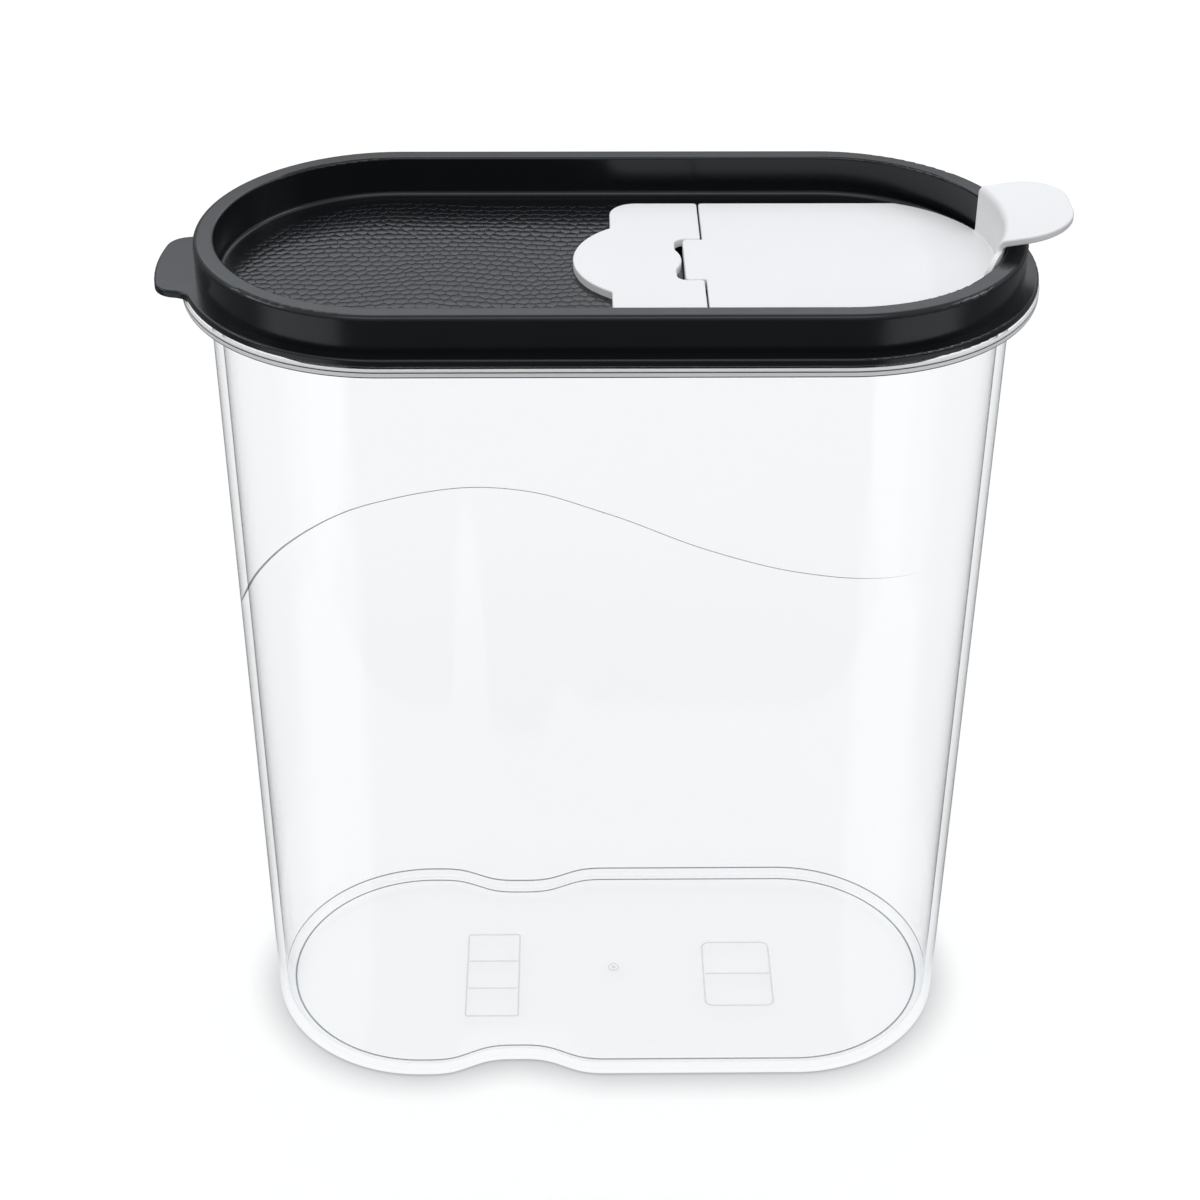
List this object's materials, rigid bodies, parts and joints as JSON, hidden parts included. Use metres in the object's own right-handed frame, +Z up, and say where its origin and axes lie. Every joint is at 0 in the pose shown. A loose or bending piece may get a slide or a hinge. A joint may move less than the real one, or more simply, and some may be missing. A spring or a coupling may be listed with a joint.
{
  "type": "pantry container",
  "caption": "Tall clear pantry container of racetrack plan with grip dents, a black lift-off lid with a sunken tray and a white hinged pour flap with a thumb tab.",
  "frame": {"origin": "middle of the base, on the surface that the container stands on", "axes": "+Z up, +X along the long side towards the pour flap's thumb tab, +Y away from the viewer of the front"},
  "size_m": [0.2484, 0.1142, 0.279],
  "materials": {
    "clear_plastic": "clear, polished",
    "black_plastic": "satin",
    "white_plastic": "satin",
    "seal_rubber": "matte",
    "pin_steel": "drawn wire"
  },
  "bodies": {
    "container": {"container_body": "clear_plastic"},
    "lid": {"lid": "black_plastic", "lid_seal": "seal_rubber", "hinge_plate": "white_plastic", "hinge_pin": "pin_steel"},
    "flap": {"pour_flap": "white_plastic"}
  },
  "joints": [
    {"name": "lid_lift", "type": "slide", "parent": "container", "child": "lid", "axis": [0, 0, 1], "range_m": [0, 0.04]},
    {"name": "flap_hinge", "type": "hinge", "parent": "lid", "child": "flap", "pos_m": [0.0223, 0, 0.2612], "axis": [0, -1, 0], "range_deg": [0, 110]}
  ]
}
